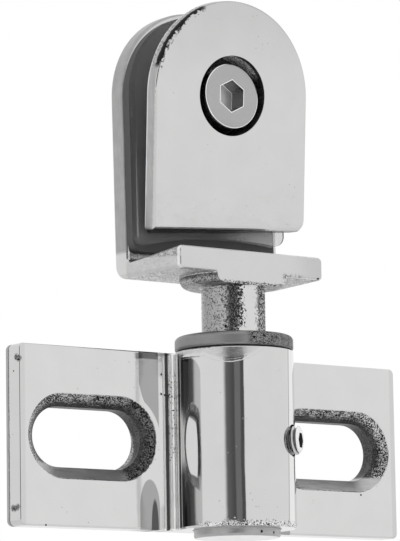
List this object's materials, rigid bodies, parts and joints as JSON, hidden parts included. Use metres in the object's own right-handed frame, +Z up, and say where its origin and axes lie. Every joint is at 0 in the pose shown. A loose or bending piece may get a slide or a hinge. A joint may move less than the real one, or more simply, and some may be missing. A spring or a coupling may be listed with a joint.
{
  "type": "glass door pivot hinge",
  "caption": "Wall-mounted pivot hinge with a glass clamp: a slotted plate and barrel carry a clamp bracket on a pin, with a loose front jaw, pads and screws.",
  "frame": {"origin": "middle of the wall plate's flat back face, midway between its two slots and halfway up the plate", "axes": "+Y into the wall that carries the plate, +Z up along the hinge pin towards the glass clamp, +X along the plate"},
  "size_m": [0.098, 0.0368, 0.1134],
  "materials": {
    "polished_steel": "mirror-polished cast stainless steel, left rough as cast in the recesses",
    "screw_steel": "turned stainless steel, satin",
    "black_rubber": "matt black rubber",
    "clear_pad": "clear soft plastic"
  },
  "bodies": {
    "plate": {"wall_plate": "polished_steel"},
    "clamp": {"clamp_bracket": "polished_steel", "back_gasket": "black_rubber"},
    "jaw": {"front_jaw": "polished_steel", "front_gasket": "clear_pad"},
    "screw": {"clamp_screw": "screw_steel"},
    "set_screw": {"set_screw": "screw_steel"}
  },
  "joints": [
    {"name": "door_pivot", "type": "hinge", "parent": "plate", "child": "clamp", "pos_m": [0, -0.0128, 0], "axis": [0, 0, 1], "continuous": true},
    {"name": "jaw_slide", "type": "slide", "parent": "clamp", "child": "jaw", "axis": [0, -1, 0], "range_m": [0, 0.008]},
    {"name": "screw_turn", "type": "hinge", "parent": "jaw", "child": "screw", "pos_m": [0, -0.0135, 0.0729], "axis": [0, -1, 0], "range_deg": [0, 2305]},
    {"name": "set_screw_slide", "type": "slide", "parent": "plate", "child": "set_screw", "axis": [0.5948, -0.8039, 0], "range_m": [0, 0.003]}
  ],
  "couplings": [
    {"joint": "screw_turn", "follows": "jaw_slide", "rad_per_m": 5026.5}
  ]
}
